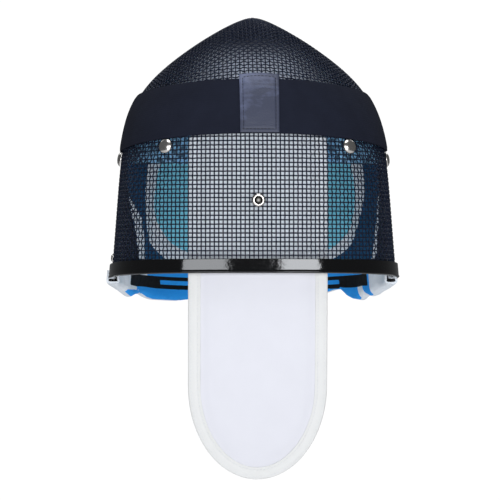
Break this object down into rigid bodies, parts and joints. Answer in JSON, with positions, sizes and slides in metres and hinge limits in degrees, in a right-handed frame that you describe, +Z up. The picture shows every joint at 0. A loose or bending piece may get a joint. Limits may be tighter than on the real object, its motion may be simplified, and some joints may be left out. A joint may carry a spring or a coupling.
{
  "type": "fencing mask",
  "caption": "Wire mesh head guard with a ridged face, bound rim, rear strap, padded inner band, hanging neck tongue and a throat bib tucked up inside.",
  "frame": {"origin": "where the crown of the wearer's head touches the inside of the dome, on the centre plane", "axes": "+Z up square to the rim, +Y towards the face, +X to the right seen from behind"},
  "size_m": [0.225, 0.2575, 0.3414],
  "materials": {
    "painted_wire": "dark navy enamel over steel wire",
    "black_vinyl": "glossy, slightly crinkled",
    "dark_elastic": "matt woven elastic",
    "leatherette": "grained, soft sheen",
    "white_cloth": "smooth, cool white",
    "off_white_binding": "stitched binding tape",
    "navy_padding": "matt brushed padding",
    "bib_cloth": "matt cloth in blue and teal with white edging",
    "chrome": "polished"
  },
  "bodies": {
    "root": {"front_mesh": "painted_wire", "back_mesh": "painted_wire", "rim_trim": "black_vinyl", "head_strap": "dark_elastic", "strap_patch": "leatherette", "tongue_panel": "white_cloth", "tongue_binding": "off_white_binding", "tongue_bolt": "chrome", "back_rivet_left": "chrome", "back_rivet_right": "chrome", "side_rivet_left": "chrome", "side_rivet_right": "chrome", "rim_rivet_left": "chrome", "rim_rivet_right": "chrome", "lining_band": "navy_padding", "forehead_lining": "navy_padding", "bib": "bib_cloth"}
  },
  "joints": []
}
